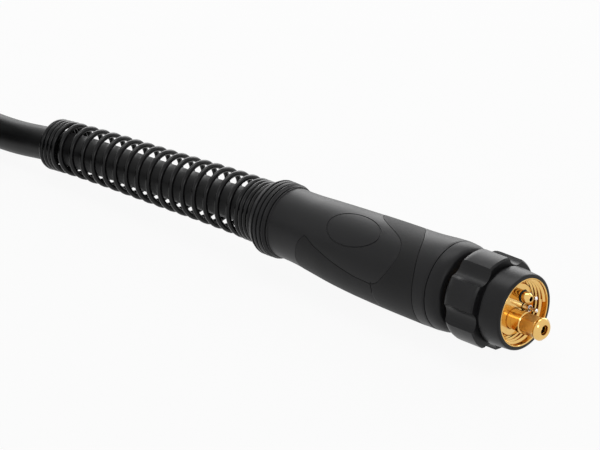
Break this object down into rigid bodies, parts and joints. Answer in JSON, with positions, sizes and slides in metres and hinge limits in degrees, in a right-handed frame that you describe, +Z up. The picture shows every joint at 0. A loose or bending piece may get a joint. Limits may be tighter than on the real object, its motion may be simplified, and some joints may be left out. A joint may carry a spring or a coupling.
{
  "type": "mig welding torch",
  "caption": "MIG welding torch: central connector plug with lobed coupling nut, two-part housing, bend spring, coiled co-axial cable and a gun",
  "frame": {"origin": "centre of the coupling nut's front rim, on the plug's axis", "axes": "+X points out of the plug's nose, away from the cable; +Z is up as the torch lies; +Y completes the frame"},
  "size_m": [0.6457, 0.2669, 0.0752],
  "materials": {
    "black_plastic": "satin, fine grain",
    "soft_grip": "dull, grained",
    "brass": "polished",
    "steel": "bright nickel plate",
    "spring_black": "gloss black lacquer",
    "cable_jacket": "satin",
    "copper": "drawn copper alloy"
  },
  "bodies": {
    "torch": {"ball_knuckle": "black_plastic", "bend_spring": "spring_black", "cable_coil": "cable_jacket", "cable_gun_end": "cable_jacket", "cable_inner_end": "cable_jacket", "cable_lead": "cable_jacket", "cable_tail": "cable_jacket", "central_tube": "brass", "contact_tip": "copper", "crimp_ferrule": "brass", "gas_nipple": "brass", "gun_cable_boot": "soft_grip", "handle_shell_lower": "black_plastic", "handle_shell_upper": "black_plastic", "housing_front_ring": "black_plastic", "housing_shell_far": "black_plastic", "housing_shell_near": "black_plastic", "liner_nut": "brass", "micro_switch": "black_plastic", "neck_sleeve": "soft_grip", "nipple_o_ring": "soft_grip", "nozzle_insulator": "black_plastic", "nut_retaining_ring": "steel", "pilot_barrel_lower": "steel", "pilot_barrel_upper": "steel", "plug_body": "brass", "soft_band_far": "soft_grip", "soft_band_near": "soft_grip", "soft_panel_far": "soft_grip", "soft_panel_near": "soft_grip", "spring_collar": "black_plastic", "swan_neck": "brass", "tip_holder": "brass", "trigger_pin": "steel", "wire_liner": "steel"},
    "nut": {"coupling_nut": "black_plastic", "thread_insert": "brass"},
    "pin_upper": {"pilot_pin_upper": "steel"},
    "pin_lower": {"pilot_pin_lower": "steel"},
    "trigger_lever": {"trigger": "black_plastic"},
    "nozzle": {"gas_nozzle": "steel"}
  },
  "joints": [
    {"name": "nut_spin", "type": "hinge", "parent": "torch", "child": "nut", "pos_m": [0, 0, 0], "axis": [1, 0, 0], "continuous": true},
    {"name": "pilot_upper_slide", "type": "slide", "parent": "torch", "child": "pin_upper", "axis": [-1, 0, 0], "range_m": [0, 0.003], "stiffness_N_per_m": 500, "springref_m": -0.001},
    {"name": "pilot_lower_slide", "type": "slide", "parent": "torch", "child": "pin_lower", "axis": [-1, 0, 0], "range_m": [0, 0.003], "stiffness_N_per_m": 500, "springref_m": -0.001},
    {"name": "trigger_press", "type": "hinge", "parent": "torch", "child": "trigger_lever", "pos_m": [-0.359, -0.1835, 0.0325], "axis": [0, 0, -1], "range_deg": [0, 5], "stiffness_Nm_per_rad": 0.6, "springref_deg": -5.73},
    {"name": "nozzle_pull", "type": "slide", "parent": "torch", "child": "nozzle", "axis": [0.7071, -0.7071, 0], "range_m": [0, 0.055]}
  ]
}
